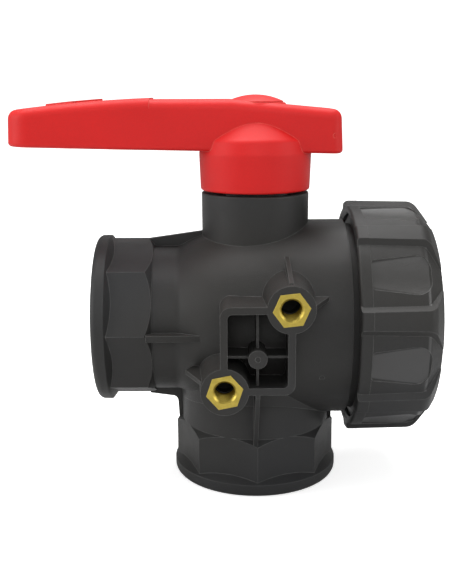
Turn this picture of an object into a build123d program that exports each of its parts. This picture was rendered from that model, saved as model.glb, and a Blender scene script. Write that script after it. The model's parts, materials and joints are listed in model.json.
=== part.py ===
"""Three-way (bottom inlet) DN 50 plastic ball valve with a union end, all sizes in millimetres.

Frame: the origin is the centre of the bottom port's face, +Z runs up the stem, +X runs along
the through axis towards the union nut, and the fixing face with its two brass inserts looks -Y.
"""

from build123d import *
import os
from math import cos, radians, sin, sqrt

os.makedirs("parts", exist_ok=True)

# ---- Driving dimensions -------------------------------------------------------------------

# Ports (G2 pipe thread, 11 threads per inch)
thread_major_r = 29.81
thread_length = 24.0
mouth_r = 31.0
mouth_depth = 1.2
flow_r = 24.0

# Port ends: a round collar, then an octagon for a wrench with one corner to the front
axis_height = 74.1
left_face = 71.84
collar_r = 38.0
collar_width = 5.9
collar_edge = 2.8
cone_rise = 0.7
wrench_corner_r = 37.0
wrench_start = 3.0
wrench_end = 26.0
barrel_r = 34.2
left_barrel_r = 33.3

# Chamber and union thread
body_r = 44.6
shoulder_start = 8.0
shoulder_arc_r = 86.0
shoulder_blend_r = 6.0
chamber_r = 37.0
carrier_bore_r = 40.05
carrier_bore_start = 33.0
body_groove_r = 42.6
body_groove_start = 39.8
body_groove_end = 43.5
male_thread_r = 47.1
male_thread_start = 44.5
body_end = 60.0

# Skirt where the chamber comes down onto the bottom barrel, cut off along two shallow arcs
skirt_edge_z = 42.8
skirt_left_arc_r = 115.0
skirt_right_arc_r = 52.0
skirt_foot = 31.0
skirt_foot_radii = (34.25, 35.2)
skirt_head = 53.0
skirt_head_radii = (35.0, 39.2)

# Neck and stem
neck_r = 24.1
neck_top = 131.96
stem_r = 12.0
stem_bore_r = 12.05
stem_square = 15.0
stem_top = 160.0
flange_recess_r = 16.0
flange_recess_top = 116.0

# Fixing pattern on the front
face_y = -59.5
pattern_x = -0.9
pattern_z = axis_height - 0.25
boss_dx = 13.5
boss_dz = 17.1
boss_r = 9.9
boss_draft = 3.5
frame_width = 30.5
frame_height = 36.8
frame_wall = 3.0
pocket_width = frame_width - 2 * frame_wall
pocket_height = frame_height - 2 * frame_wall
post_r = 3.9
post_drop = 3.3
cross_rib = 1.0
cross_rib_set_back = 4.0

# Webs and ribs: (x, z) outlines in the middle plane, (y, z) outlines for the front and back ribs
rib = 2.4
gusset = 1.9
gusset_y = face_y + 3.5
boss_root_y = -35.0
neck_web = [(-49, 100), (-49, 110.8), (-24, 114.3), (-20, 114.3), (-20, 100)]
corner_web = [(-49.5, 44), (-49.5, 36.9), (-36.6, 35.1), (-35.9, 24), (-30, 24), (-30, 44)]
corner_web_radii = [0, 0, 2.6, 0, 0, 0]
right_web = [(28, 24), (36.2, 24), (36.2, 34), (28, 34)]
front_rib = [(face_y, 56.5), (face_y, 54), (-37, 24), (-30, 24), (-30, 56.5)]
back_rib = [(30, 24), (36.2, 24), (38, 52), (30, 52)]
fin = 2.8
fin_low_z = axis_height - 2.1
fin_x = -36.0
fin_length = 24.0
fin_y = 38.1
fin_root_y = 28.0

# Brass inserts, M10
insert_flats = 13.3
insert_length = 14.0
insert_well_r = 4.5
insert_well = 19.0
insert_thread_r = 5.0
insert_proud = 0.2
insert_turns = {"insert_upper": 6.3, "insert_lower": 11.4}

# Round marks that the mould's ejector pins left; the one on the chamber is at (x, z) and starts at y
ejector_r = 1.1
ejector_depth = 0.35
chamber_mark = (27.2, 56.6)
chamber_mark_y = 40.65

# Ball and seats
ball_r = 36.0
seat_outer_r = 29.5
seat_front = 22.0
seat_back = 33.0
seat_cord_r = 27.1
seat_cord = 1.5

# Union
running_clearance = 0.05
nut_start = 41.9
nut_end = 78.4
nut_rim = 0.08
nut_rib_r = 52.9
nut_valley_r = 50.7
nut_taper = 0.5
nut_rib_count = 8
nut_rib_angle = 10.8
nut_rib_half = 3.76
nut_rib_slope = 0.8
pad_start = 47.0
pad_end = 72.2
pad_start_half = 6.5
pad_end_half = 9.6
pad_start_floor_r = 49.4
pad_end_floor_r = 48.2
pad_dish_r = 40.0
shoulder_x = 66.1
connector_end = 79.6
connector_tube_r = 37.0

# Lever
hub_r_low = 24.5
hub_r_high = 25.1
hub_bottom = 133.1
hub_waist = 149.5
hub_shoulder = 155.4
hub_shoulder_r = 23.6
lever_half_width = 15.0
lever_end = -109.2
lever_end_draft = 0.7
stub_end = 38.0
stub_end_draft = 0.9
grip_end = -46.0
cap_r = 12.5
cap_seat = 171.3
cap_rim = 171.9
cap_top = 174.8
stop_span = 80.0
lug_span = 98.0

# ---- Planes and axes ----------------------------------------------------------------------

run_axis = Axis((0, 0, axis_height), (1, 0, 0))
run_plane = Plane(origin=(0, 0, axis_height), x_dir=(1, 0, 0), z_dir=(0, -1, 0))
left_port_plane = Plane(origin=(-left_face, 0, axis_height), x_dir=(0, 1, 0), z_dir=(1, 0, 0))
# looks into the body from the fixing face; its local y is -Z
front_plane = Plane(origin=(pattern_x, face_y, pattern_z), x_dir=(1, 0, 0), z_dir=(0, 1, 0))
insert_spots = {"insert_upper": (boss_dx, -boss_dz), "insert_lower": (-boss_dx, boss_dz)}


def across_plane(x):
    """The plane square to the through axis at x; its local x is +Y and its local y is +Z."""
    return Plane(origin=(x, 0, axis_height), x_dir=(0, 1, 0), z_dir=(1, 0, 0))


def outline(plane, *points, radii=0):
    """The face inside a closed outline; radii rounds every corner, or each one in turn."""
    with BuildSketch(plane) as sketch:
        with BuildLine():
            FilletPolyline(*points, radius=radii, close=True)
        make_face()
    return sketch.sketch


def sector(plane, inner_r, outer_r, middle, span):
    """A ring sector centred on the angle middle, in degrees."""
    with BuildSketch(plane) as sketch:
        Circle(outer_r)
        Circle(inner_r, mode=Mode.SUBTRACT)
        far = 3 * outer_r
        half = span / 4
        corners = [(0, 0)]
        for step in range(-2, 3):
            angle = radians(middle + step * half)
            corners.append((far * cos(angle), far * sin(angle)))
        with BuildLine():
            Polyline(*corners, close=True)
        make_face(mode=Mode.INTERSECT)
    return sketch.sketch


# ---- Port end, used for the left and the bottom port --------------------------------------

flat_r = wrench_corner_r * cos(radians(22.5))
corner_end = wrench_end - (wrench_corner_r - flat_r)

with BuildPart() as port_blank:
    with BuildSketch(Plane.XY.offset(wrench_start)):
        RegularPolygon(radius=wrench_corner_r, side_count=8)
    extrude(amount=wrench_end - wrench_start)
    envelope = outline(
        Plane.XZ, (0, 0), (collar_r, 0), (collar_r, corner_end - 1), (flat_r, wrench_end), (0, wrench_end)
    )
    revolve(envelope, axis=Axis.Z, mode=Mode.INTERSECT)
    cone_r = flat_r - 1
    cone_end = collar_width + (collar_r - cone_r) * cone_rise
    collar = outline(
        Plane.XZ,
        (0, 0),
        (collar_r, 0),
        (collar_r, collar_width),
        (cone_r, cone_end),
        (0, cone_end),
        radii=[0, collar_edge, 0.4, 0, 0],
    )
    revolve(collar, axis=Axis.Z)

# ---- Valve body ---------------------------------------------------------------------------

shoulder_centre_r = body_r - shoulder_arc_r
shoulder_foot = shoulder_start - sqrt(shoulder_arc_r**2 - (left_barrel_r - shoulder_centre_r) ** 2)
shoulder_mid = (shoulder_start + shoulder_foot) / 2
shoulder_mid_r = shoulder_centre_r + sqrt(shoulder_arc_r**2 - (shoulder_mid - shoulder_start) ** 2)
barrel_start = -left_face + 8


def skirt_edge(x, arc_r):
    """A point of the skirt's lower edge, which falls away from the middle along an arc."""
    return (x, skirt_edge_z - arc_r + sqrt(arc_r**2 - x**2))


with BuildPart() as skirt:
    with BuildSketch(Plane.XY.offset(skirt_foot)):
        Ellipse(*skirt_foot_radii)
    with BuildSketch(Plane.XY.offset(skirt_head)):
        Ellipse(*skirt_head_radii)
    loft()
    with BuildSketch(Plane.XZ):
        with BuildLine():
            reach = skirt_head_radii[1]
            left_end = skirt_edge(-reach, skirt_left_arc_r)
            right_end = skirt_edge(reach, skirt_right_arc_r)
            top = skirt_edge(0, skirt_left_arc_r)
            ThreePointArc(left_end, skirt_edge(-reach / 2, skirt_left_arc_r), top)
            ThreePointArc(top, skirt_edge(reach / 2, skirt_right_arc_r), right_end)
            Polyline(right_end, (reach, skirt_head), (-reach, skirt_head), left_end)
        make_face()
    extrude(amount=reach, both=True, mode=Mode.INTERSECT)

with BuildPart() as valve_body:
    # port ends
    add(port_blank.part)
    with Locations(left_port_plane.location):
        add(port_blank.part)
    # left barrel, shoulder, chamber and union thread, turned about the through axis
    with BuildSketch(run_plane) as run_section:
        with BuildLine():
            Polyline(
                (shoulder_start, body_r),
                (body_groove_start, body_r),
                (body_groove_start, body_groove_r),
                (body_groove_end, body_groove_r),
                (male_thread_start, male_thread_r),
                (body_end - 1, male_thread_r),
                (body_end, male_thread_r - 1),
                (body_end, 0),
                (barrel_start, 0),
                (barrel_start, left_barrel_r),
                (shoulder_foot, left_barrel_r),
            )
            ThreePointArc(
                (shoulder_foot, left_barrel_r), (shoulder_mid, shoulder_mid_r), (shoulder_start, body_r)
            )
        make_face()
        crease = run_section.vertices().sort_by_distance((shoulder_foot, left_barrel_r))[0]
        fillet(crease, radius=shoulder_blend_r)
    revolve(axis=run_axis)
    # bottom barrel
    with BuildSketch(Plane.XY.offset(wrench_end - 4)):
        Circle(barrel_r)
    extrude(amount=axis_height - wrench_end)
    add(skirt.part)
    # neck with the fixed stop for the lever
    with BuildSketch(Plane.XY.offset(axis_height)):
        Circle(neck_r)
    extrude(amount=neck_top - axis_height)
    neck_rim = valve_body.edges().filter_by(GeomType.CIRCLE).sort_by(Axis.Z)[-1]
    fillet(neck_rim, radius=0.6)
    extrude(sector(Plane.XY.offset(neck_top - 1), 15.5, 20.6, -90, stop_span), amount=6)

    # webs in the middle plane
    web_plane = Plane.XZ.offset(-rib / 2)
    extrude(outline(web_plane, *neck_web), amount=rib)
    extrude(outline(web_plane, *corner_web, radii=corner_web_radii), amount=rib)
    extrude(outline(web_plane, *right_web), amount=rib)
    # level fins at the front and back corners of the left octagon, running out into the shoulder
    with BuildSketch(Plane.XY.offset(fin_low_z)):
        with Locations((fin_x, 0)):
            Rectangle(fin_length, 2 * fin_y)
            Rectangle(fin_length, 2 * fin_root_y, mode=Mode.SUBTRACT)
    extrude(amount=fin)

    # front fixing pattern: two bosses on a walled frame with a post and thin cross ribs
    with BuildSketch(front_plane):
        with Locations((0, 0)):
            RectangleRounded(frame_width, frame_height, 4.4)
            RectangleRounded(pocket_width, pocket_height, 2.0, mode=Mode.SUBTRACT)
        with Locations((0, post_drop)):
            Circle(post_r)
    extrude(amount=26)
    with BuildSketch(front_plane):
        with Locations(*insert_spots.values()):
            Circle(boss_r)
    extrude(amount=26, taper=-boss_draft)
    # marks of the ejector pins on the post and on the chamber
    with BuildSketch(front_plane):
        with Locations((0, post_drop)):
            Circle(ejector_r)
    extrude(amount=ejector_depth, mode=Mode.SUBTRACT)
    with BuildSketch(Plane.XZ.offset(chamber_mark_y)):
        with Locations(chamber_mark):
            Circle(ejector_r)
    extrude(amount=10, mode=Mode.SUBTRACT)
    with BuildSketch(front_plane.offset(cross_rib_set_back)):
        Rectangle(cross_rib, frame_height - frame_wall)
        with Locations((0, post_drop)):
            Rectangle(frame_width - frame_wall, cross_rib)
    extrude(amount=20)
    # gussets beside the bosses
    upper_z = pattern_z + boss_dz
    lower_z = pattern_z - boss_dz
    upper_x = pattern_x + boss_dx
    lower_x = pattern_x - boss_dx
    extrude(
        outline(
            Plane.YZ.offset(upper_x - gusset / 2),
            (face_y + 2.2, upper_z + 8),
            (face_y + 2.2, upper_z + boss_r + 0.7),
            (-30, 107.4),
            (-27, 104),
            (boss_root_y, upper_z),
        ),
        amount=gusset,
    )
    extrude(
        outline(
            Plane.XY.offset(upper_z - 0.6),
            (upper_x + 8, gusset_y),
            (upper_x + boss_r + 0.4, gusset_y),
            (29.6, -41),
            (27, boss_root_y),
            (upper_x, boss_root_y),
        ),
        amount=gusset,
    )
    extrude(
        outline(
            Plane.XY.offset(lower_z + 2),
            (lower_x - 7, gusset_y),
            (lower_x - boss_r, gusset_y),
            (-31, -41),
            (-28, boss_root_y),
            (lower_x, boss_root_y),
        ),
        amount=gusset,
    )
    # upright rib from the frame down to the front corner of the bottom octagon, and the one at the back
    extrude(outline(Plane.YZ.offset(pattern_x - gusset / 2), *front_rib), amount=gusset)
    extrude(outline(Plane.YZ.offset(-rib / 2), *back_rib), amount=rib)

    # through passage: left thread, seat pocket, round chamber, carrier bore
    left_thread_end = -left_face + thread_length
    revolve(
        outline(
            run_plane,
            (-left_face - 1, 0),
            (-left_face - 1, mouth_r),
            (-left_face, mouth_r),
            (-left_face + mouth_depth, thread_major_r),
            (left_thread_end, thread_major_r),
            (left_thread_end + 2, flow_r),
            (-seat_back, flow_r),
            (-seat_back, seat_outer_r + 0.05),
            (0, seat_outer_r + 0.05),
            (0, 0),
        ),
        axis=run_axis,
        mode=Mode.SUBTRACT,
    )
    with Locations((0, 0, axis_height)):
        Sphere(chamber_r, mode=Mode.SUBTRACT)
    revolve(
        outline(
            run_plane,
            (0, 0),
            (0, chamber_r),
            (carrier_bore_start, chamber_r),
            (carrier_bore_start, carrier_bore_r),
            (body_end + 1, carrier_bore_r),
            (body_end + 1, 0),
        ),
        axis=run_axis,
        mode=Mode.SUBTRACT,
    )
    # bottom port
    revolve(
        outline(
            Plane.XZ,
            (0, -1),
            (mouth_r, -1),
            (mouth_r, 0),
            (thread_major_r, mouth_depth),
            (thread_major_r, thread_length),
            (flow_r, thread_length + 2),
            (flow_r, 50),
            (0, 50),
        ),
        axis=Axis.Z,
        mode=Mode.SUBTRACT,
    )
    # stem bore with the recess for the stem's flange
    revolve(
        outline(
            Plane.XZ,
            (0, 100),
            (flange_recess_r, 100),
            (flange_recess_r, flange_recess_top),
            (stem_bore_r, flange_recess_top),
            (stem_bore_r, neck_top + 1),
            (0, neck_top + 1),
        ),
        axis=Axis.Z,
        mode=Mode.SUBTRACT,
    )
    # pockets for the two brass inserts, each with a round well behind it for the screw's end
    for name, spot in insert_spots.items():
        with BuildSketch(front_plane):
            with Locations(spot):
                RegularPolygon(insert_flats / 2, 6, major_radius=False, rotation=-insert_turns[name])
        extrude(amount=insert_length - insert_proud, mode=Mode.SUBTRACT)
        with BuildSketch(front_plane):
            with Locations(spot):
                Circle(insert_well_r)
        extrude(amount=insert_well, mode=Mode.SUBTRACT)

# ---- Brass inserts ------------------------------------------------------------------------


def threaded_insert(name):
    """A hexagonal M10 insert, its flats turned as the moulding left them."""
    with BuildPart() as insert:
        with BuildSketch(front_plane.offset(-insert_proud)):
            with Locations(insert_spots[name]):
                RegularPolygon(insert_flats / 2, 6, major_radius=False, rotation=-insert_turns[name])
                Circle(insert_thread_r, mode=Mode.SUBTRACT)
        extrude(amount=insert_length)
    return insert


insert_upper = threaded_insert("insert_upper")
insert_lower = threaded_insert("insert_lower")

# ---- Ball, with an L-shaped passage from below to the side of the lever -------------------

tang_width = 10.0
tang_length = 25.0
tang_bottom = 103.6
stem_foot = 110.5

with BuildPart() as ball:
    with Locations((0, 0, axis_height)):
        Sphere(ball_r)
        Sphere(flow_r, mode=Mode.SUBTRACT)
    with BuildSketch(Plane.XY.offset(axis_height)):
        Circle(flow_r)
    extrude(amount=-ball_r, mode=Mode.SUBTRACT)
    with BuildSketch(across_plane(0)):
        Circle(flow_r)
    extrude(amount=-ball_r, mode=Mode.SUBTRACT)
    with BuildSketch(Plane.XY.offset(tang_bottom - 0.05)):
        Rectangle(tang_width + 0.1, 2 * ball_r)
    extrude(amount=ball_r, mode=Mode.SUBTRACT)

# ---- Stem and its seals -------------------------------------------------------------------

groove_floor_r = 10.05
groove_width = 2.2
stem_cord = 0.98
flange_r = 15.8
flange_top = 114.4
ring_grooves = {"stem_oring_lower": 119.0, "stem_oring_upper": 125.0}

with BuildPart() as stem:
    revolve(
        outline(
            Plane.XZ,
            (0, stem_foot),
            (flange_r, stem_foot),
            (flange_r, flange_top),
            (stem_r, flange_top),
            (stem_r, neck_top + 1),
            (0, neck_top + 1),
        ),
        axis=Axis.Z,
    )
    for groove_z in ring_grooves.values():
        groove = outline(
            Plane.XZ,
            (groove_floor_r, groove_z - groove_width / 2),
            (stem_r + 1, groove_z - groove_width / 2),
            (stem_r + 1, groove_z + groove_width / 2),
            (groove_floor_r, groove_z + groove_width / 2),
        )
        revolve(groove, axis=Axis.Z, mode=Mode.SUBTRACT)
    with BuildSketch(Plane.XY.offset(neck_top)):
        Rectangle(stem_square, stem_square)
    extrude(amount=stem_top - neck_top)
    chamfer(stem.faces().sort_by(Axis.Z)[-1].edges(), length=0.8)
    with BuildSketch(Plane.XY.offset(tang_bottom)):
        Rectangle(tang_width, tang_length)
    extrude(amount=stem_foot - tang_bottom)
    with BuildSketch(Plane.XY.offset(stem_top)):
        Circle(3.02)
    extrude(amount=-14, mode=Mode.SUBTRACT)


def ring_seal(plane, ring_r, cord_r):
    """An O-ring lying in a plane."""
    with BuildPart() as seal:
        with Locations(plane.location):
            Torus(ring_r, cord_r)
    return seal


stem_ring_r = groove_floor_r + stem_cord + 0.01
stem_oring_lower = ring_seal(Plane.XY.offset(ring_grooves["stem_oring_lower"]), stem_ring_r, stem_cord)
stem_oring_upper = ring_seal(Plane.XY.offset(ring_grooves["stem_oring_upper"]), stem_ring_r, stem_cord)

with BuildPart() as stem_thrust_washer:
    with BuildSketch(Plane.XY.offset(flange_top + 0.05)):
        Circle(flange_r)
        Circle(stem_r + 0.1, mode=Mode.SUBTRACT)
    extrude(amount=flange_recess_top - flange_top - 0.05)

# ---- Ball seats, one on each side, grooved at the back for their O-rings -------------------

seat_groove_inner = seat_cord_r - seat_cord - 0.1
seat_groove_outer = seat_cord_r + seat_cord + 0.1

with BuildPart() as seat_left:
    revolve(
        outline(
            run_plane,
            (-seat_back, flow_r),
            (-seat_front, flow_r),
            (-seat_front, seat_outer_r),
            (-seat_back, seat_outer_r),
            (-seat_back, seat_groove_outer),
            (2 * seat_cord - seat_back, seat_groove_outer),
            (2 * seat_cord - seat_back, seat_groove_inner),
            (-seat_back, seat_groove_inner),
        ),
        axis=run_axis,
    )
    with Locations((0, 0, axis_height)):
        Sphere(ball_r + running_clearance, mode=Mode.SUBTRACT)

with BuildPart() as seat_right:
    mirror(seat_left.part, about=Plane.YZ)

seat_oring_left = ring_seal(across_plane(seat_cord - seat_back), seat_cord_r, seat_cord)
seat_oring_right = ring_seal(across_plane(seat_back - seat_cord), seat_cord_r, seat_cord)

# ---- Seat carrier, screwed into the body behind the right seat ----------------------------

carrier_end = 45.0
carrier_nose_r = chamber_r - 0.1
carrier_cord = 1.0
carrier_groove_r = 34.95
carrier_groove_x = 28.0

with BuildPart() as seat_carrier:
    revolve(
        outline(
            run_plane,
            (seat_front, seat_outer_r + 0.05),
            (seat_front, carrier_nose_r),
            (carrier_groove_x - 1.2, carrier_nose_r),
            (carrier_groove_x - 1.2, carrier_groove_r),
            (carrier_groove_x + 1.2, carrier_groove_r),
            (carrier_groove_x + 1.2, carrier_nose_r),
            (carrier_bore_start + 0.05, carrier_nose_r),
            (carrier_bore_start + 0.05, carrier_bore_r - 0.05),
            (carrier_end, carrier_bore_r - 0.05),
            (carrier_end, flow_r),
            (seat_back, flow_r),
            (seat_back, seat_outer_r + 0.05),
        ),
        axis=run_axis,
    )
    # two slots for the key that screws it home
    with BuildSketch(across_plane(carrier_end)):
        Rectangle(90, 5)
    extrude(amount=-3.5, mode=Mode.SUBTRACT)

seat_carrier_oring = ring_seal(across_plane(carrier_groove_x), carrier_groove_r + 1.02, carrier_cord)

# ---- Union: the end connector that slides in the body, and the nut that draws it home -----

nose_r = carrier_bore_r - running_clearance
nose_start = 46.0
nose_groove_x = 51.5
nose_groove_r = 37.95
connector_thread_end = connector_end - thread_length
connector_flange_r = 46.4

with BuildPart() as end_connector:
    revolve(
        outline(
            run_plane,
            (nose_start, flow_r),
            (nose_start, nose_r - 0.8),
            (nose_start + 0.8, nose_r),
            (nose_groove_x - 1.2, nose_r),
            (nose_groove_x - 1.2, nose_groove_r),
            (nose_groove_x + 1.2, nose_groove_r),
            (nose_groove_x + 1.2, nose_r),
            (body_end + 0.05, nose_r),
            (body_end + 0.05, connector_flange_r),
            (shoulder_x - 0.1, connector_flange_r),
            (shoulder_x - 0.1, connector_tube_r),
            (connector_end - 0.8, connector_tube_r),
            (connector_end, connector_tube_r - 0.8),
            (connector_end, mouth_r),
            (connector_end - mouth_depth, thread_major_r),
            (connector_thread_end, thread_major_r),
            (connector_thread_end - 2, flow_r),
        ),
        axis=run_axis,
    )

end_connector_oring = ring_seal(across_plane(nose_groove_x), nose_groove_r + 1.02, carrier_cord)

nut_bore_r = male_thread_r + running_clearance
nut_hole_r = connector_tube_r + running_clearance


def nut_profile(outer_r, round_start, end_r, round_r):
    """Half section of the nut's outside: a proud rim, a slight taper, a rounded closed end."""
    return outline(
        run_plane,
        (nut_start, 44.0),
        (nut_start, outer_r + nut_rim),
        (pad_start, outer_r + nut_rim),
        (pad_start, outer_r),
        (round_start, outer_r - nut_taper),
        (nut_end - 0.4, end_r),
        (nut_end, 40.0),
        (nut_end, 36.0),
        (60.0, 36.0),
        (60.0, 44.0),
        radii=[0, 1.1, 0, 0, round_r, 2.6, 0.5, 0, 0, 0],
    )


# one grip rib at the front of the nut, with sloping flanks
rib_foot_r = 42.0
rib_over_r = nut_rib_r + 1
rib_foot_half = nut_rib_half + (nut_rib_r - rib_foot_r) * nut_rib_slope
rib_over_half = nut_rib_half - (rib_over_r - nut_rib_r) * nut_rib_slope

with BuildPart() as grip_rib:
    extrude(
        outline(
            across_plane(nut_start),
            (-rib_foot_r, -rib_foot_half),
            (-rib_over_r, -rib_over_half),
            (-rib_over_r, rib_over_half),
            (-rib_foot_r, rib_foot_half),
        ),
        amount=nut_end - nut_start,
    )
    revolve(nut_profile(nut_rib_r, 72.4, 43.5, 5.5), axis=run_axis, mode=Mode.INTERSECT)

# one dished finger pad, the cutter for it at the front of the nut
with BuildPart() as finger_pad:
    extrude(
        outline(
            Plane(origin=(0, -46, axis_height), x_dir=(1, 0, 0), z_dir=(0, -1, 0)),
            (pad_start, -pad_start_half),
            (pad_end, -pad_end_half),
            (pad_end, pad_end_half),
            (pad_start, pad_start_half),
            radii=[1.6, 6.5, 6.5, 1.6],
        ),
        amount=8,
    )
    dish_plane = Plane(
        origin=(pad_start, -pad_start_floor_r - pad_dish_r, axis_height),
        x_dir=(0, 0, 1),
        z_dir=(pad_end - pad_start, pad_start_floor_r - pad_end_floor_r, 0),
    )
    with BuildSketch(dish_plane.offset(-5)):
        Circle(pad_dish_r)
    extrude(amount=pad_end - pad_start + 10, mode=Mode.INTERSECT)

rib_step = 360 / nut_rib_count

with BuildPart() as union_nut:
    revolve(nut_profile(nut_valley_r, 70.6, 43.0, 5.0), axis=run_axis)
    for count in range(nut_rib_count):
        turn = -nut_rib_angle - count * rib_step
        add(grip_rib.part.rotate(run_axis, turn))
        add(finger_pad.part.rotate(run_axis, turn - rib_step / 2), mode=Mode.SUBTRACT)
    revolve(
        outline(
            run_plane,
            (nut_start - 1, 30),
            (nut_start - 1, nut_bore_r + 1.2),
            (nut_start, nut_bore_r + 1.2),
            (nut_start + 1.2, nut_bore_r),
            (shoulder_x, nut_bore_r),
            (shoulder_x, nut_hole_r),
            (nut_end + 1, nut_hole_r),
            (nut_end + 1, 30),
        ),
        axis=run_axis,
        mode=Mode.SUBTRACT,
    )

# ---- Lever --------------------------------------------------------------------------------

crown = [(lever_end + lever_end_draft, 168.5), (-78.0, 171.8), (grip_end, 173.6)]
head_top = 173.0
slice_plane = Plane.XZ.offset(-lever_half_width)
lever_top_edge = 4.2
lever_low_edge = 1.6
lever_edge_rise = 8.0


def rim_edges(block, joint_x, end_x, end_radius):
    """The edges round a lever block, above and below, apart from the ones at its joint."""
    return block.edges().filter_by(
        lambda edge: edge.bounding_box().size.Z < lever_edge_rise
        and abs(edge.center().X - joint_x) > 0.1
        and (abs(edge.center().Y) > lever_half_width - 0.1 or abs(edge.center().X - end_x) < end_radius)
    )


def lever_block(side_face, joint_x, end_x, end_radius):
    """A lever block cut from its side face: square at joint_x, rounded at end_x and along its edges."""
    with BuildPart() as block:
        extrude(side_face, amount=2 * lever_half_width)
        upright = block.edges().filter_by(
            lambda edge: edge.bounding_box().size.Z > lever_edge_rise and abs(edge.center().X - end_x) < 1
        )
        fillet(upright, radius=end_radius)
        middle_z = block.part.center().Z
        rim = rim_edges(block, joint_x, end_x, end_radius)
        fillet(rim.filter_by(lambda edge: edge.center().Z > middle_z), radius=lever_top_edge)
        low_z = middle_z - 5
        lower = rim_edges(block, joint_x, end_x, end_radius).filter_by(lambda edge: edge.center().Z < low_z)
        fillet(lower, radius=lever_low_edge)
    return block


with BuildSketch(slice_plane) as grip_side:
    with BuildLine():
        ThreePointArc(*crown)
        Polyline(crown[-1], (grip_end, 151.5), (-59, 151.8), (lever_end, 153.2), crown[0])
    make_face()

head_side = outline(
    slice_plane,
    (grip_end - 3, 151.6),
    (grip_end - 3, head_top),
    (-11.5, head_top - 0.1),
    (stub_end - stub_end_draft, 168.2),
    (stub_end, 149.4),
)
grip_block = lever_block(grip_side.sketch, grip_end, lever_end, 11)
head_block = lever_block(head_side, grip_end - 3, stub_end, 5)

# raised arrow on the grip, pointing away from the stem
arrow_tip = -92.8
arrow_shoulder = -79.3
arrow_tail = -68.0
arrow_rise = 0.8

with BuildPart() as arrow:
    with BuildSketch(slice_plane):
        with BuildLine():
            ThreePointArc(*[(x, z + arrow_rise) for x, z in crown])
            Polyline(
                (grip_end, crown[-1][1] + arrow_rise),
                (grip_end, 166),
                (crown[0][0], 166),
                (crown[0][0], crown[0][1] + arrow_rise),
            )
        make_face()
    extrude(amount=2 * lever_half_width)
    extrude(
        outline(
            Plane.XY.offset(160),
            (arrow_tip, 0),
            (arrow_shoulder, 10.5),
            (arrow_shoulder, 4),
            (arrow_tail, 4),
            (arrow_tail, -4),
            (arrow_shoulder, -4),
            (arrow_shoulder, -10.5),
        ),
        amount=20,
        mode=Mode.INTERSECT,
    )

# hub
socket_bottom = 134.0
cavity_top = 148.0
cavity_r = 21.8
core_boss_r = 13.0
web_top = 163.0
screw_hole_r = 3.4
pocket_r = 9.0
cell_pitch = 18.5
cell_wall = 2.4
cell_rows_pitch = 13.2
cell_top = 165.5

with BuildPart() as handle_lever:
    add(grip_block.part)
    add(head_block.part)
    add(arrow.part)
    revolve(
        outline(
            Plane.XZ,
            (0, hub_bottom),
            (hub_r_low, hub_bottom),
            (hub_r_high, hub_waist),
            (hub_shoulder_r, hub_shoulder),
            (lever_half_width - 1, 163.7),
            (0, 163.7),
            radii=[0, 1.0, 6.0, 3.0, 0, 0],
        ),
        axis=Axis.Z,
    )
    # low boss under the cap, the cap's seat and the screw pocket below it
    revolve(
        outline(Plane.XZ, (0, cap_seat - 2), (14.6, cap_seat - 2), (13.3, cap_seat), (0, cap_seat)),
        axis=Axis.Z,
    )
    with BuildSketch(Plane.XY.offset(cap_seat)):
        Circle(cap_r + 0.3)
    extrude(amount=10, mode=Mode.SUBTRACT)
    with BuildSketch(Plane.XY.offset(web_top)):
        Circle(pocket_r)
    extrude(amount=20, mode=Mode.SUBTRACT)
    with BuildSketch(Plane.XY.offset(stem_top - 1)):
        Circle(screw_hole_r)
    extrude(amount=5, mode=Mode.SUBTRACT)
    # skirt cavity around the neck's stop, and the square socket for the stem
    with BuildSketch(Plane.XY.offset(hub_bottom - 1)):
        Circle(cavity_r)
        Circle(core_boss_r, mode=Mode.SUBTRACT)
    extrude(amount=cavity_top - hub_bottom + 1, mode=Mode.SUBTRACT)
    with BuildSketch(Plane.XY.offset(hub_bottom - 1)):
        Circle(core_boss_r + 1)
    extrude(amount=socket_bottom - hub_bottom + 1, mode=Mode.SUBTRACT)
    with BuildSketch(Plane.XY.offset(hub_bottom - 1)):
        Rectangle(stem_square + 0.1, stem_square + 0.1)
    extrude(amount=stem_top - hub_bottom + 1, mode=Mode.SUBTRACT)
    # stop lug inside the skirt, below the grip
    extrude(
        sector(Plane.XY.offset(socket_bottom), 15.2, cavity_r + 0.4, 180, lug_span),
        amount=cavity_top - socket_bottom + 0.5,
    )
    # ejector mark on the stub's side
    with BuildSketch(Plane.XZ.offset(lever_half_width)):
        with Locations((34.2, 157.3)):
            Circle(ejector_r)
    extrude(amount=-ejector_depth, mode=Mode.SUBTRACT)
    # underside cored out in cells, so that the walls stay even
    with BuildSketch(Plane.XY.offset(140)):
        with Locations((-65, 0)):
            with GridLocations(cell_pitch, cell_rows_pitch, 4, 2):
                RectangleRounded(cell_pitch - cell_wall, cell_rows_pitch - cell_wall, 1.5)
        with Locations((32, 0)):
            RectangleRounded(7, 22, 1.5)
    extrude(amount=cell_top - 140, mode=Mode.SUBTRACT)

# cap, screw and washer that hold the lever on the stem
washer_r = 8.0
washer_top = web_top + 1.6
screw_r = 3.0
screw_head = 10.0
dome_r = (cap_r**2 + (cap_top - cap_rim) ** 2) / (2 * (cap_top - cap_rim))
dome_mid_z = cap_top - dome_r + sqrt(dome_r**2 - (cap_r / 2) ** 2)

with BuildPart() as handle_washer:
    with BuildSketch(Plane.XY.offset(web_top)):
        Circle(washer_r)
        Circle(screw_r + 0.2, mode=Mode.SUBTRACT)
    extrude(amount=washer_top - web_top)

with BuildPart() as handle_screw:
    with BuildSketch(Plane.XY.offset(stem_top - 12)):
        Circle(screw_r)
    extrude(amount=washer_top - stem_top + 12)
    with BuildSketch(Plane.XY.offset(washer_top)):
        RegularPolygon(screw_head / 2, 6, major_radius=False)
    extrude(amount=4)

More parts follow.
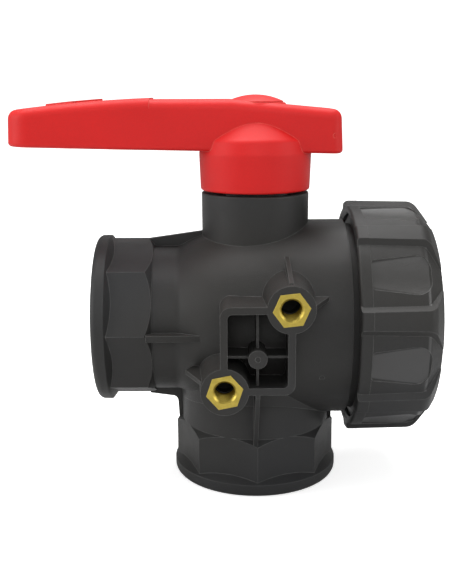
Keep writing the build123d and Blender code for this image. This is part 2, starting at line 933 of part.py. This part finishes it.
with BuildPart() as handle_cap:
    with BuildSketch(Plane.XZ):
        with BuildLine():
            Polyline(
                (0, cap_top),
                (0, cap_seat - 1.6),
                (pocket_r - 0.05, cap_seat - 1.6),
                (pocket_r - 0.05, cap_seat),
                (cap_r, cap_seat),
                (cap_r, cap_rim),
            )
            ThreePointArc((cap_r, cap_rim), (cap_r / 2, dome_mid_z), (0, cap_top))
        make_face()
    revolve(axis=Axis.Z)

pieces = {
    "valve_body": valve_body,
    "insert_upper": insert_upper,
    "insert_lower": insert_lower,
    "ball": ball,
    "stem": stem,
    "stem_oring_lower": stem_oring_lower,
    "stem_oring_upper": stem_oring_upper,
    "stem_thrust_washer": stem_thrust_washer,
    "seat_left": seat_left,
    "seat_right": seat_right,
    "seat_oring_left": seat_oring_left,
    "seat_oring_right": seat_oring_right,
    "seat_carrier": seat_carrier,
    "seat_carrier_oring": seat_carrier_oring,
    "end_connector": end_connector,
    "end_connector_oring": end_connector_oring,
    "union_nut": union_nut,
    "handle_lever": handle_lever,
    "handle_washer": handle_washer,
    "handle_screw": handle_screw,
    "handle_cap": handle_cap,
}
for name, piece in pieces.items():
    piece.part.label = name
    export_step(piece.part, f"parts/{name}.step")
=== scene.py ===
"""Looks of the three-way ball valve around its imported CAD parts: threads, materials, studio and camera.

Everything is in metres, in the part's own frame: the origin is the centre of the bottom port's face,
+Z runs up the stem, +X towards the union nut, and the fixing face looks -Y.
"""

import json
from math import cos, pi, radians, sin, tau

import bpy
from mathutils import Matrix, Vector


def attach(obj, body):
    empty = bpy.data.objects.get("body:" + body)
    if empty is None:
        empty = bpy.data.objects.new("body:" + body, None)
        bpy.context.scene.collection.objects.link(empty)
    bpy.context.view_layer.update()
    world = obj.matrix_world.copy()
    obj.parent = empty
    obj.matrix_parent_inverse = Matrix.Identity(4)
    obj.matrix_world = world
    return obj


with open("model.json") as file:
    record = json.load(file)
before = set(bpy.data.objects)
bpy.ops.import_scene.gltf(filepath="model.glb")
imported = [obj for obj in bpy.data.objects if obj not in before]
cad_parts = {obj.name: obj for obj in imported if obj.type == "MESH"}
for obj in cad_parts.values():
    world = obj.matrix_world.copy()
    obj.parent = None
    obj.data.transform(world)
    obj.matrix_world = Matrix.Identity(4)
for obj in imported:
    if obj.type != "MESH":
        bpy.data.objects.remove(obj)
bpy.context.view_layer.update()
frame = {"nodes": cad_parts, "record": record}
nodes = frame["nodes"]
mounts = {mount["name"]: mount for mount in frame["record"]["mounts"]}

# ---- Camera -------------------------------------------------------------------------------

camera_place = Vector((-0.01452, -0.40213, 0.17598))
camera_down = 0.2218
camera_right = 0.0027
camera_roll = -0.0065
camera_lens = 54.73
camera_sensor = 36.0
camera_near = 0.01

camera_data = bpy.data.cameras.new("camera")
camera_data.lens = camera_lens
camera_data.sensor_width = camera_sensor
camera_data.clip_start = camera_near
camera = bpy.data.objects.new("camera", camera_data)
camera.matrix_world = (
    Matrix.Translation(camera_place)
    @ Matrix.Rotation(-camera_right, 4, "Z")
    @ Matrix.Rotation(pi / 2 - camera_down, 4, "X")
    @ Matrix.Rotation(camera_roll, 4, "Z")
)
bpy.context.scene.collection.objects.link(camera)
bpy.context.scene.camera = camera

# ---- Node helpers -------------------------------------------------------------------------

bevel_samples = 6


def feed(tree, socket, value):
    """Gives a node's input a value, or links it to another node's output."""
    if isinstance(value, bpy.types.NodeSocket):
        tree.links.new(value, socket)
    else:
        socket.default_value = value


def add_node(tree, kind, inputs, **settings):
    """A new node with its settings made and its inputs fed."""
    made = tree.nodes.new("ShaderNode" + kind)
    for setting, value in settings.items():
        setattr(made, setting, value)
    for socket, value in inputs.items():
        feed(tree, made.inputs[socket], value)
    return made


def noise(tree, place, scale, detail=3.0, rough=0.5, stretch=(1, 1, 1)):
    """Noise from 0 to 1; scale is in features a metre, and stretch makes it finer along an axis."""
    mapped = add_node(tree, "Mapping", {"Vector": place, "Scale": stretch})
    inputs = {"Vector": mapped.outputs[0], "Scale": scale, "Detail": detail, "Roughness": rough}
    return add_node(tree, "TexNoise", inputs).outputs[0]


def remap(tree, value, low, high, new_low, new_high):
    """The value, with low to high stretched to new_low to new_high and held there."""
    inputs = {"Value": value, "From Min": low, "From Max": high, "To Min": new_low, "To Max": new_high}
    return add_node(tree, "MapRange", inputs).outputs[0]


def maths(tree, operation, first, second):
    """One arithmetic step."""
    return add_node(tree, "Math", {0: first, 1: second}, operation=operation).outputs[0]


def blend_colour(tree, factor, first, second):
    """The first colour at 0, the second at 1."""
    inputs = {0: factor, 6: first, 7: second}
    return add_node(tree, "Mix", inputs, data_type="RGBA").outputs[2]


def scaled_colour(tree, colour, factor):
    """A colour made lighter or darker."""
    return add_node(tree, "VectorMath", {0: colour, "Scale": factor}, operation="SCALE").outputs[0]


def bump(tree, height, distance, normal=None):
    """A normal bent by a height of 0 to 1 that stands for that distance in metres."""
    inputs = {"Height": height, "Distance": distance, "Strength": 1.0}
    if normal is not None:
        inputs["Normal"] = normal
    return add_node(tree, "Bump", inputs).outputs[0]


def soft_edges(tree, radius):
    """The normal with small rounded edges, and how strongly a point lies on an edge, 0 to 1."""
    rounded = add_node(tree, "Bevel", {"Radius": radius}, samples=bevel_samples).outputs[0]
    true_normal = add_node(tree, "NewGeometry", {}).outputs["Normal"]
    alike = add_node(tree, "VectorMath", {0: rounded, 1: true_normal}, operation="DOT_PRODUCT")
    return rounded, remap(tree, alike.outputs["Value"], 1.0, 0.9, 0.0, 1.0)


def new_material(name, colour):
    """An empty node material; returns it with its tree, its main shader and the piece's own coordinates."""
    material = bpy.data.materials.new(name)
    material.diffuse_color = (*colour, 1)
    material.use_nodes = True
    tree = material.node_tree
    shader = tree.nodes["Principled BSDF"]
    shader.inputs["Base Color"].default_value = (*colour, 1)
    place = add_node(tree, "TexCoord", {}).outputs["Object"]
    return material, tree, shader, place


# ---- Materials ----------------------------------------------------------------------------

# the nut's finger pads: a point on the nut's axis, where the pads start and end, and how deep they lie
run_axis_place = Vector(mounts["right_port"]["pos_m"]) * Vector((0, 1, 1))
pad_start = 0.0471
pad_end = 0.0712
pad_floor_r = 0.0476
pad_rim_r = 0.0501
pad_fade = 0.0002

# features a metre in the plastics' noises, from the broadest to the finest
hue_scale = 14
cloud_scale = 28
flow_scale = 70
highlight_patch_scale = 240
speckle_scale = 1500
grain_scale = 2600

plastic_shine = 0.3
pad_shine = 0.7
pad_polish = 0.12
flow_depth = 0.00006


def finger_pads(tree, place):
    """1 in the nut's finger pads, which the mould left smoother, and 0 elsewhere."""
    across = add_node(tree, "VectorMath", {0: place, 1: run_axis_place}, operation="SUBTRACT").outputs[0]
    parts = add_node(tree, "SeparateXYZ", {"Vector": across}).outputs
    squares = maths(tree, "ADD", maths(tree, "POWER", parts["Y"], 2.0), maths(tree, "POWER", parts["Z"], 2.0))
    from_axis = maths(tree, "SQRT", squares, 0.0)
    below = remap(tree, from_axis, pad_rim_r - pad_fade, pad_rim_r, 1.0, 0.0)
    above = remap(tree, from_axis, pad_floor_r - pad_fade, pad_floor_r, 0.0, 1.0)
    past_start = maths(tree, "GREATER_THAN", parts["X"], pad_start)
    before_end = maths(tree, "LESS_THAN", parts["X"], pad_end)
    in_depth = maths(tree, "MULTIPLY", below, above)
    in_length = maths(tree, "MULTIPLY", past_start, before_end)
    return maths(tree, "MULTIPLY", in_depth, in_length)


def moulded_plastic(name, colour, edge_highlight_colour, rough, grain, mottle, edge_radius=0.0004, polished=None):
    """Injection-moulded plastic: spark-eroded grain, faint flow marks and uneven gloss, with a patchy painted
    highlight along the edges.
    """
    material, tree, shader, place = new_material(name, colour)
    rounded, edge = soft_edges(tree, edge_radius)
    cloud = noise(tree, place, cloud_scale, detail=2)
    flow = noise(tree, place, flow_scale, detail=4, rough=0.6, stretch=(0.35, 1, 1))
    speckle = noise(tree, place, speckle_scale, detail=2, rough=0.7)
    tone = maths(
        tree,
        "MULTIPLY",
        remap(tree, cloud, 0.3, 0.7, 1 - mottle, 1 + mottle),
        remap(tree, speckle, 0.3, 0.7, 1 - mottle, 1 + mottle),
    )
    # painted highlight: edges are blended towards the lighter edge colour, in patches set by this noise
    highlight_patches = remap(tree, noise(tree, place, highlight_patch_scale, detail=6, rough=0.7), 0.35, 0.75, 0.25, 1.0)
    edge_highlight = maths(tree, "MULTIPLY", edge, highlight_patches)
    red, green, blue = colour
    hue = remap(tree, noise(tree, place, hue_scale, detail=1), 0.35, 0.65, 0.0, 1.0)
    warm = (red * 1.04, green, blue * 0.93, 1)
    cool = (red * 0.98, green, blue * 1.05, 1)
    base = blend_colour(tree, hue, warm, cool)
    shade = blend_colour(tree, edge_highlight, scaled_colour(tree, base, tone), (*edge_highlight_colour, 1))
    feed(tree, shader.inputs["Base Color"], shade)
    gloss = maths(
        tree,
        "ADD",
        remap(tree, flow, 0.3, 0.7, rough - 0.05, rough + 0.06),
        remap(tree, speckle, 0.3, 0.7, -0.04, 0.04),
    )
    shine = plastic_shine
    if polished is not None:
        smooth = polished(tree, place)
        gloss = maths(tree, "SUBTRACT", gloss, maths(tree, "MULTIPLY", smooth, pad_polish))
        shine = remap(tree, smooth, 0.0, 1.0, plastic_shine, pad_shine)
    feed(tree, shader.inputs["Roughness"], gloss)
    feed(tree, shader.inputs["Specular IOR Level"], shine)
    swell = bump(tree, flow, flow_depth, rounded)
    pits = noise(tree, place, grain_scale, detail=3, rough=0.6)
    feed(tree, shader.inputs["Normal"], bump(tree, pits, grain, swell))
    return material


def brass(name, colour):
    """Machined brass with turning marks, a little tarnish and bright edges."""
    material, tree, shader, place = new_material(name, colour)
    rounded, edge = soft_edges(tree, 0.00025)
    tarnish = remap(tree, noise(tree, place, 420, detail=5, rough=0.6), 0.4, 0.75, 0.0, 0.55)
    dull = scaled_colour(tree, colour, 0.62)
    bright = scaled_colour(tree, colour, 1.15)
    shade = blend_colour(tree, edge, blend_colour(tree, tarnish, (*colour, 1), dull), bright)
    feed(tree, shader.inputs["Base Color"], shade)
    feed(tree, shader.inputs["Metallic"], 1.0)
    feed(tree, shader.inputs["Roughness"], remap(tree, tarnish, 0.0, 0.55, 0.3, 0.46))
    marks = noise(tree, place, 2400, detail=2, stretch=(1, 0.12, 1))
    feed(tree, shader.inputs["Normal"], bump(tree, marks, 0.00003, rounded))
    return material


def steel(name, colour):
    """Stainless steel, brushed and slightly smudged."""
    material, tree, shader, place = new_material(name, colour)
    rounded = soft_edges(tree, 0.0003)[0]
    brushed = noise(tree, place, 5200, detail=3, stretch=(0.05, 1, 1))
    smudge = noise(tree, place, 180, detail=4)
    shade = scaled_colour(tree, colour, remap(tree, brushed, 0.3, 0.7, 0.86, 1.08))
    feed(tree, shader.inputs["Base Color"], shade)
    feed(tree, shader.inputs["Metallic"], 1.0)
    feed(tree, shader.inputs["Roughness"], remap(tree, smudge, 0.3, 0.7, 0.24, 0.42))
    feed(tree, shader.inputs["Normal"], bump(tree, brushed, 0.00002, rounded))
    return material


def ptfe(name, colour):
    """White PTFE turned on a lathe: waxy, with fine rings about the through axis."""
    material, tree, shader, place = new_material(name, colour)
    rounded = soft_edges(tree, 0.0003)[0]
    cloud = noise(tree, place, 90, detail=4)
    shade = scaled_colour(tree, colour, remap(tree, cloud, 0.3, 0.7, 0.93, 1.03))
    feed(tree, shader.inputs["Base Color"], shade)
    feed(tree, shader.inputs["Roughness"], remap(tree, cloud, 0.3, 0.7, 0.38, 0.5))
    feed(tree, shader.inputs["Subsurface Weight"], 0.15)
    feed(tree, shader.inputs["Subsurface Scale"], 0.001)
    rings = noise(tree, place, 4200, detail=2, stretch=(1, 0.08, 0.08))
    feed(tree, shader.inputs["Normal"], bump(tree, rings, 0.00003, rounded))
    return material


def rubber(name, colour):
    """Black sealing rubber with a thin film of dust."""
    material, tree, shader, place = new_material(name, colour)
    dust = noise(tree, place, 700, detail=5, rough=0.65)
    dusty = remap(tree, dust, 0.45, 0.8, 0.0, 0.3)
    shade = blend_colour(tree, dusty, (*colour, 1), (0.08, 0.078, 0.07, 1))
    feed(tree, shader.inputs["Base Color"], shade)
    feed(tree, shader.inputs["Roughness"], remap(tree, dust, 0.3, 0.7, 0.5, 0.72))
    feed(tree, shader.inputs["Normal"], bump(tree, noise(tree, place, 3500, detail=3), 0.00004))
    return material


# the lighter edge colours here are painted highlights, laid along the edges by moulded_plastic
charcoal = (0.0205, 0.0203, 0.0200)
charcoal_edge_highlight = (0.15, 0.15, 0.145)
signal_red = (0.57, 0.0068, 0.0060)
signal_red_edge_highlight = (0.80, 0.13, 0.10)

# each plastic's second colour is its painted edge highlight
materials = {
    "body_plastic": moulded_plastic(
        "body_plastic", charcoal, charcoal_edge_highlight, 0.5, 0.00008, 0.08, polished=finger_pads
    ),
    "lever_plastic": moulded_plastic(
        "lever_plastic", signal_red, signal_red_edge_highlight, 0.52, 0.00005, 0.04, edge_radius=0.0006
    ),
    "ball_plastic": moulded_plastic(
        "ball_plastic", (0.03, 0.03, 0.032), (0.09, 0.09, 0.09), 0.2, 0.00001, 0.03
    ),
    "stem_plastic": moulded_plastic("stem_plastic", charcoal, (0.12, 0.12, 0.12), 0.46, 0.00004, 0.05),
    "seat_ptfe": ptfe("seat_ptfe", (0.82, 0.82, 0.79)),
    "seal_rubber": rubber("seal_rubber", (0.016, 0.016, 0.016)),
    "insert_brass": brass("insert_brass", (0.48, 0.368, 0.075)),
    "fastener_steel": steel("fastener_steel", (0.62, 0.62, 0.63)),
}

for row in frame["record"]["subparts"]:
    mesh = nodes[row["node"]].data
    mesh.materials.clear()
    mesh.materials.append(materials[row["material_slot"]])

# ---- Threads ------------------------------------------------------------------------------

thread_facets = 96
thread_bite = 0.00004
thread_sharp_angle = radians(40)


def hole_frame(mount):
    """A hole's start, its outward axis, two directions across it and its wall's radius."""
    outward = Vector(mount["axis"])
    across = outward.orthogonal().normalized()
    return Vector(mount["pos_m"]), outward, across, outward.cross(across), mount["dims"]["r_mm"] / 1000


def riding_piece(name, points, faces, body, slot):
    """A smooth-shaded mesh that rides on a body in one of its materials."""
    mesh = bpy.data.meshes.new(name)
    mesh.from_pydata(points, [], faces)
    mesh.shade_smooth()
    mesh.set_sharp_from_angle(angle=thread_sharp_angle)
    mesh.materials.append(materials[slot])
    piece = bpy.data.objects.new(name, mesh)
    bpy.context.scene.collection.objects.link(piece)
    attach(piece, body)


def countersink(name, mount, crest_r, body, slot):
    """The cone at a tapped hole's mouth, from the wall's edge down to the crests of the thread."""
    start, outward, across, along, wall_r = hole_frame(mount)
    depth = wall_r - crest_r
    profile = [(0.00002, wall_r + thread_bite), (depth, crest_r), (2 * depth, wall_r + thread_bite)]
    points = []
    faces = []
    for step in range(thread_facets):
        turn = tau * step / thread_facets
        radial = across * cos(turn) - along * sin(turn)
        after = (step + 1) % thread_facets
        for side, (down, radius) in enumerate(profile):
            beside = (side + 1) % 3
            points.append(start - outward * down + radial * radius)
            faces.append((3 * step + side, 3 * step + beside, 3 * after + beside, 3 * after + side))
    riding_piece(name, points, faces, body, slot)


def thread_turns(name, mount, pitch, crest_r, body, slot):
    """The helical ridge of a female thread along a mount's wall, run out to nothing at both ends."""
    start, outward, across, along, wall_r = hole_frame(mount)
    length = mount["dims"]["length_mm"] / 1000 - pitch
    steps = round((length - pitch) / pitch * thread_facets)
    run_out = thread_facets // 2
    # the ridge's profile: how far along the axis, in pitches, and how far in from the wall, 0 to 1
    profile = [(-0.44, 0.0), (-0.14, 0.86), (-0.07, 1.0), (0.07, 1.0), (0.14, 0.86), (0.44, 0.0)]
    points = []
    for step in range(steps + 1):
        turn = tau * step / thread_facets
        height = min(1.0, step / run_out, (steps - step) / run_out)
        depth = pitch * (0.5 + step / thread_facets)
        radial = across * cos(turn) - along * sin(turn)
        for shift, rise in profile:
            radius = wall_r + thread_bite - (wall_r + thread_bite - crest_r) * rise * height
            points.append(start - outward * (depth + shift * pitch * (0.3 + 0.7 * height)) + radial * radius)
    count = len(profile)
    faces = []
    for step in range(steps):
        low = step * count
        for side in range(count):
            after = (side + 1) % count
            faces.append((low + side, low + after, low + count + after, low + count + side))
    faces.append(tuple(reversed(range(count))))
    faces.append(tuple(range(steps * count, steps * count + count)))
    riding_piece(name, points, faces, body, slot)


pipe_pitch = 0.0254 / 11
pipe_crest_r = 0.02833
screw_pitch = 0.0015
screw_crest_r = 0.00419

for port, body in (("left_port", "valve"), ("bottom_port", "valve"), ("right_port", "connector")):
    thread_turns(port + "_thread", mounts[port], pipe_pitch, pipe_crest_r, body, "body_plastic")
for hole in ("insert_upper_thread", "insert_lower_thread"):
    thread_turns(hole + "_turns", mounts[hole], screw_pitch, screw_crest_r, "valve", "insert_brass")
    countersink(hole + "_mouth", mounts[hole], screw_crest_r, "valve", "insert_brass")

# ---- Smooth shading of the CAD pieces -----------------------------------------------------

part_sharp_angle = radians(28)
for node in nodes.values():
    node.data.shade_smooth()
    node.data.set_sharp_from_angle(angle=part_sharp_angle)

# ---- Studio -------------------------------------------------------------------------------

studio_width = 6.0
studio_front = -3.0
studio_height = 4.0
sweep_start = 1.2
sweep_radius = 0.9
sweep_steps = 16
air_strength = 0.42


def studio_sweep():
    """A pale floor that curves up into a backdrop behind the valve."""
    profile = [(studio_front, 0.0), (sweep_start, 0.0)]
    for step in range(1, sweep_steps + 1):
        angle = pi / 2 * step / sweep_steps
        profile.append((sweep_start + sweep_radius * sin(angle), sweep_radius * (1 - cos(angle))))
    profile.append((sweep_start + sweep_radius, studio_height))
    points = [(side * studio_width / 2, y, z) for y, z in profile for side in (-1, 1)]
    faces = [(2 * i, 2 * i + 1, 2 * i + 3, 2 * i + 2) for i in range(len(profile) - 1)]
    mesh = bpy.data.meshes.new("studio_sweep")
    mesh.from_pydata(points, [], faces)
    mesh.shade_smooth()
    material, tree, shader = new_material("studio_paper", (0.9, 0.9, 0.9))[:3]
    seen = add_node(tree, "LightPath", {}).outputs["Is Camera Ray"]
    paper = blend_colour(tree, seen, (0.6, 0.6, 0.6, 1), (0.9, 0.9, 0.9, 1))
    feed(tree, shader.inputs["Base Color"], paper)
    feed(tree, shader.inputs["Roughness"], 0.9)
    feed(tree, shader.inputs["Emission Color"], (1, 1, 1, 1))
    feed(tree, shader.inputs["Emission Strength"], remap(tree, seen, 0.0, 1.0, 0.05, 0.6))
    mesh.materials.append(material)
    sweep = bpy.data.objects.new("studio_sweep", mesh)
    bpy.context.scene.collection.objects.link(sweep)


def softbox(name, place, target, width, height, power):
    """A rectangular soft light that looks at the target."""
    light = bpy.data.lights.new(name, "AREA")
    light.shape = "RECTANGLE"
    light.size = width
    light.size_y = height
    light.energy = power
    lamp = bpy.data.objects.new(name, light)
    lamp.location = place
    lamp.rotation_euler = (Vector(target) - Vector(place)).to_track_quat("-Z", "Y").to_euler()
    bpy.context.scene.collection.objects.link(lamp)


centre = (0.0, 0.0, 0.09)
studio_sweep()
softbox("top_box", (-0.1, 0.2, 1.1), centre, width=1.2, height=0.8, power=16.5)
softbox("left_box", (-1.3, -0.3, 0.5), centre, width=0.7, height=0.8, power=8)
softbox("front_box", (0.1, -1.4, 0.8), centre, width=1.0, height=0.8, power=6)
softbox("right_box", (1.2, -0.5, 0.5), centre, width=0.6, height=0.8, power=5)

world = bpy.data.worlds.new("studio_air")
world.use_nodes = True
world.node_tree.nodes["Background"].inputs["Color"].default_value = (1, 1, 1, 1)
world.node_tree.nodes["Background"].inputs["Strength"].default_value = air_strength
bpy.context.scene.world = world
bpy.context.scene.view_settings.view_transform = "Standard"
